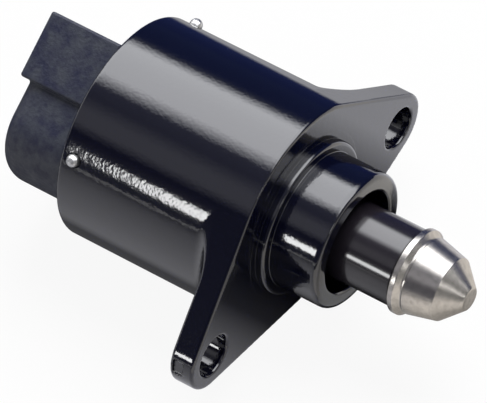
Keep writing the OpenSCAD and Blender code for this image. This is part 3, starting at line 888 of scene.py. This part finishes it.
def painted_reflection_tent():
    """A tunnel along the valve axis that only reflections show, painted with dark reflection bands and a
    bright panel: a painted reflection of a softbox and dark surroundings.
    """
    radius, half = 1.2, 2.0
    steps = 24
    points = []
    for i in range(steps + 1):
        a = math.radians(-3 + 181.5 * i / steps)
        for x in (-half, half):
            points.append((x, radius * math.cos(a), radius * math.sin(a)))
    faces = [(2 * i, 2 * i + 1, 2 * i + 3, 2 * i + 2) for i in range(steps)]
    tree, glow = painted_reflection_card("painted_reflection_tent", points, faces, 4.4)
    y, z = position(tree)[1:]
    angle = math_node(tree, "DIVIDE", math_node(tree, "ARCTAN2", z, y), math.pi)
    # Painted reflection bands by angle about the axis: a painted highlight panel from 45 to 83 degrees
    # between painted dark and haze bands
    stops = [(0, PAINTED_DARK_REFLECTION), (29, PAINTED_DARK_REFLECTION), (35, (0.030, 0.033, 0.045)), (45, PAINTED_PANEL_HIGHLIGHT),
             (83, PAINTED_PANEL_HIGHLIGHT), (97, (0.04, 0.041, 0.05)), (110, (0.033, 0.033, 0.040)), (124, PAINTED_HAZE_REFLECTION),
             (136, PAINTED_HAZE_REFLECTION), (146, (0.007, 0.007, 0.010)), (157, (0.015, 0.015, 0.02))]
    tree.links.new(ramp(tree, angle, [(phi / 180, c) for phi, c in stops]), glow.inputs["Color"])


def painted_floor_reflection_card(name, x_range, y_stops, painted_dark_from):
    """Painted floor reflection for polished faces: a painted soft shadow below the valve, and painted dark
    blue beyond it.
    """
    near, far = y_stops[0][0], 1.2
    last = y_stops[-1][0]
    corners = flat_corners(*x_range, near, far, CARD_Z)
    tree, glow = painted_reflection_card(name, corners, [(0, 1, 2, 3)], 1, FLOOR_AGAIN)
    x, y = position(tree)[:2]
    along = math_node(tree, "DIVIDE", math_node(tree, "SUBTRACT", y, near), last - near)
    shadow = ramp(tree, along, [((at - near) / (last - near), c) for at, c in y_stops])
    # Painted dark blue reflection beyond a slanted line across the floor
    painted_dark = math_node(tree, "SUBTRACT", y, x)
    painted_dark = math_node(tree, "ADD", math_node(tree, "SUBTRACT", painted_dark, painted_dark_from), 0.5)
    painted_dark = ramp(tree, painted_dark, [(0.488, (1, 1, 1)), (0.512, PAINTED_BLUE_DARK)])
    # Inputs 6 and 7 and output 2 are the mix node's colour sockets
    mix = add(tree, "ShaderNodeMix", data_type="RGBA", blend_type="MULTIPLY")
    mix.inputs["Factor"].default_value = 1
    tree.links.new(shadow, mix.inputs[6])
    tree.links.new(painted_dark, mix.inputs[7])
    tree.links.new(mix.outputs[2], glow.inputs["Color"])


def painted_upright_card(name, x, y_range, z_range, strength):
    """A card across the front end of the tunnel, which paints a reflection."""
    (y0, y1), (z0, z1) = y_range, z_range
    painted_reflection_card(name, [(x, y0, z0), (x, y1, z0), (x, y1, z1), (x, y0, z1)], [(0, 1, 2, 3)], strength)


def studio():
    studio_floor()
    studio_world()
    painted_reflection_tent()
    # Painted reflections at the front end: a dim dark card and a bright painted highlight panel
    painted_upright_card("painted_front_dark", 1.3, (-1.3, 1.3), (0.02, 1.3), 0.2)
    painted_upright_card("painted_front_highlight", 1.25, (-0.34, -0.12), (0.34, 0.60), 2.6)
    rear_from, flange_from, tip_from, tip_to = -1.6, -0.0015, 0.0185, 0.8
    # Painted shadow and painted light on the floor that polished faces mirror, by Y: behind the flange, in
    # front of it, and warmer in front of the tip
    painted_floor_reflection_card("painted_floor_reflection_rear", (rear_from, flange_from),
               [(-1.3, grey(0.1)), (-0.5, grey(0.2)), (-0.2, grey(0.42)), (-0.1, grey(0.56)),
                (-0.05, grey(0.63)), (-0.036, grey(0.59)), (-0.026, grey(0.5)), (-0.019, grey(0.07)),
                (0.016, grey(0.07)), (0.030, grey(0.24)), (0.06, grey(0.5))], 0.112)
    painted_floor_reflection_card("painted_floor_reflection_front", (flange_from, tip_from),
               [(-1.3, grey(0.1)), (-0.2, grey(0.3)), (-0.03, grey(0.55)), (-0.0185, grey(0.46)),
                (-0.0155, grey(0.30)), (-0.0125, grey(0.185)), (-0.0095, grey(0.05)), (-0.007, grey(0.008)),
                (0.012, grey(0.008)), (0.0218, grey(0.03)), (0.0238, grey(0.78)), (0.06, grey(0.85))], 0.57)
    painted_floor_reflection_card("painted_floor_reflection_tip", (tip_from, tip_to),
               [(-1.3, grey(0.03)), (-0.17, grey(0.1)), (-0.12, warm(0.95)), (-0.030, warm(0.95)),
                (-0.018, warm(0.75)), (-0.008, warm(0.4)), (0.006, warm(0.35)), (0.014, warm(0.6)),
                (0.024, warm(0.9)), (0.06, warm(0.95))], 0.57)
    # Painted lighter patch in the reflections below the front of the collar
    rim_reflection_corners = flat_corners(0.0125, tip_from, -0.012, 0.010, CARD_Z + 0.00004)
    painted_reflection_card("painted_rim_reflection", rim_reflection_corners, [(0, 1, 2, 3)], 0.38, FLOOR_AGAIN)
    area_light("softbox", around_axis(66), 0.9, (0.7, 0.6), 9, glossy=False)
    strip = Vector((STRIP_X, STRIP_REACH * math.cos(STRIP_ANGLE), STRIP_REACH * math.sin(STRIP_ANGLE)))
    strip_watts = STRIP_RADIANCE * math.pi * STRIP_SIZE[0] * STRIP_SIZE[1]
    area_light("strip", strip, strip.length, STRIP_SIZE, strip_watts)


photo_camera()
studio()
bpy.context.scene.view_settings.view_transform = "Standard"
